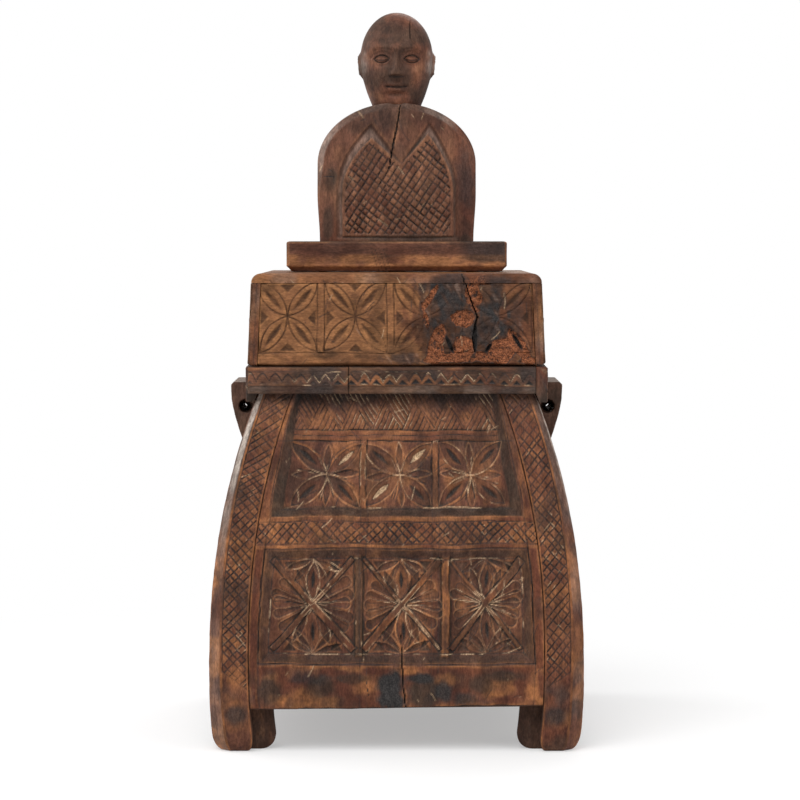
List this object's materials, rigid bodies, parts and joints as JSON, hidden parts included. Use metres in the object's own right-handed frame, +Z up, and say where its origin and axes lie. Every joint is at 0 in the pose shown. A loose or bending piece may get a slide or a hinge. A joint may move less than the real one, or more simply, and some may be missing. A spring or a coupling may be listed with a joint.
{
  "type": "carved wooden storage box",
  "caption": "Carved wooden storage box on corner-post feet, with flared panelled walls, a strip collar, bored side lugs and a lift-off lid that carries a bust on a plinth.",
  "frame": {"origin": "on the floor under the middle of the box", "axes": "+Z up, the carved front looks along -Y, +X to the right as seen from the front"},
  "size_m": [0.3, 0.3, 0.5987],
  "materials": {
    "dark_wood": "old oiled hardwood, worn orange-brown on the high edges, grey-green grime in the cuts",
    "lid_wood": "old oiled hardwood, rubbed lighter than the body",
    "bust_wood": "old hardwood with a soft hand polish",
    "grey_wood": "weathered end grain, matt",
    "inner_wood": "bare adzed wood, dry and matt",
    "peg_wood": "split wood, paler"
  },
  "bodies": {
    "box": {"post_front_left": "dark_wood", "peg_front_left_to_front": "peg_wood", "peg_front_left_to_left": "peg_wood", "post_front_right": "dark_wood", "peg_front_right_to_right": "peg_wood", "peg_front_right_to_front": "peg_wood", "post_back_right": "dark_wood", "peg_back_right_to_back": "peg_wood", "peg_back_right_to_right": "peg_wood", "post_back_left": "dark_wood", "peg_back_left_to_left": "peg_wood", "peg_back_left_to_back": "peg_wood", "front_board": "dark_wood", "right_board": "dark_wood", "back_board": "dark_wood", "left_board": "dark_wood", "floor_batten_right": "inner_wood", "batten_peg_right": "peg_wood", "floor_batten_left": "inner_wood", "batten_peg_left": "peg_wood", "floor_plank_back": "inner_wood", "floor_plank_front": "inner_wood", "collar_front_left": "dark_wood", "collar_peg_front_left": "peg_wood", "collar_front_right": "dark_wood", "collar_peg_front_right": "peg_wood", "collar_right": "dark_wood", "collar_peg_right": "peg_wood", "collar_back": "dark_wood", "collar_peg_back": "peg_wood", "collar_left": "dark_wood", "collar_peg_left": "peg_wood", "lug_right": "grey_wood", "lug_key_right": "peg_wood", "lug_left": "grey_wood", "lug_key_left": "peg_wood"},
    "lid": {"lid_front_board": "lid_wood", "lid_back_board": "lid_wood", "lid_right_board": "lid_wood", "lid_left_board": "lid_wood", "lid_top_board": "lid_wood", "lid_lip_front": "inner_wood", "lip_peg_front": "peg_wood", "lid_lip_right": "inner_wood", "lip_peg_right": "peg_wood", "lid_lip_back": "inner_wood", "lip_peg_back": "peg_wood", "lid_lip_left": "inner_wood", "lip_peg_left": "peg_wood", "lid_peg_front_left": "peg_wood", "lid_peg_front_right": "peg_wood", "lid_peg_back_right": "peg_wood", "lid_peg_back_left": "peg_wood", "lid_peg_top_front": "peg_wood", "lid_peg_top_back": "peg_wood", "plinth": "lid_wood", "plinth_dowel_left": "peg_wood", "plinth_dowel_right": "peg_wood", "bust": "bust_wood", "bust_key": "peg_wood"}
  },
  "joints": [
    {"name": "lid_lift", "type": "slide", "parent": "box", "child": "lid", "axis": [0, 0, 1], "range_m": [0, 0.16]}
  ]
}
